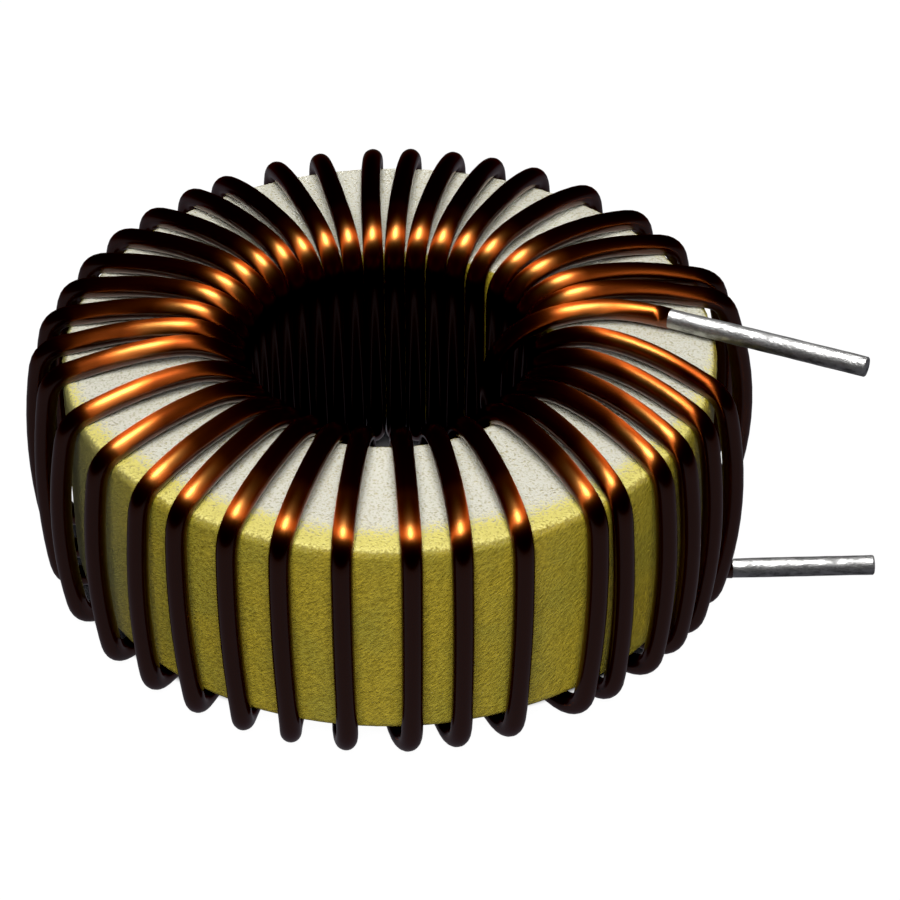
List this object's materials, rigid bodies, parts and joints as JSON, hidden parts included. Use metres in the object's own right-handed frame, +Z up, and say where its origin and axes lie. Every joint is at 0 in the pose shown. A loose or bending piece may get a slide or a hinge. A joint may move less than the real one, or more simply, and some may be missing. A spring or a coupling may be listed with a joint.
{
  "type": "toroidal inductor",
  "caption": "Toroidal inductor: enamelled copper wire in one layer round a painted iron-powder ring, both tinned ends led out to one side.",
  "frame": {"origin": "on the ring's axis, in the plane that the underside of the winding rests on", "axes": "+Z up along the ring's axis, +X towards the side where both tinned ends leave"},
  "size_m": [0.0437, 0.0368, 0.0146],
  "materials": {
    "ring_paint": "matt, lightly textured",
    "copper_enamel": "gloss enamel",
    "solder_tin": "satin"
  },
  "bodies": {
    "root": {"toroid_core": "ring_paint", "winding": "copper_enamel"}
  },
  "joints": []
}
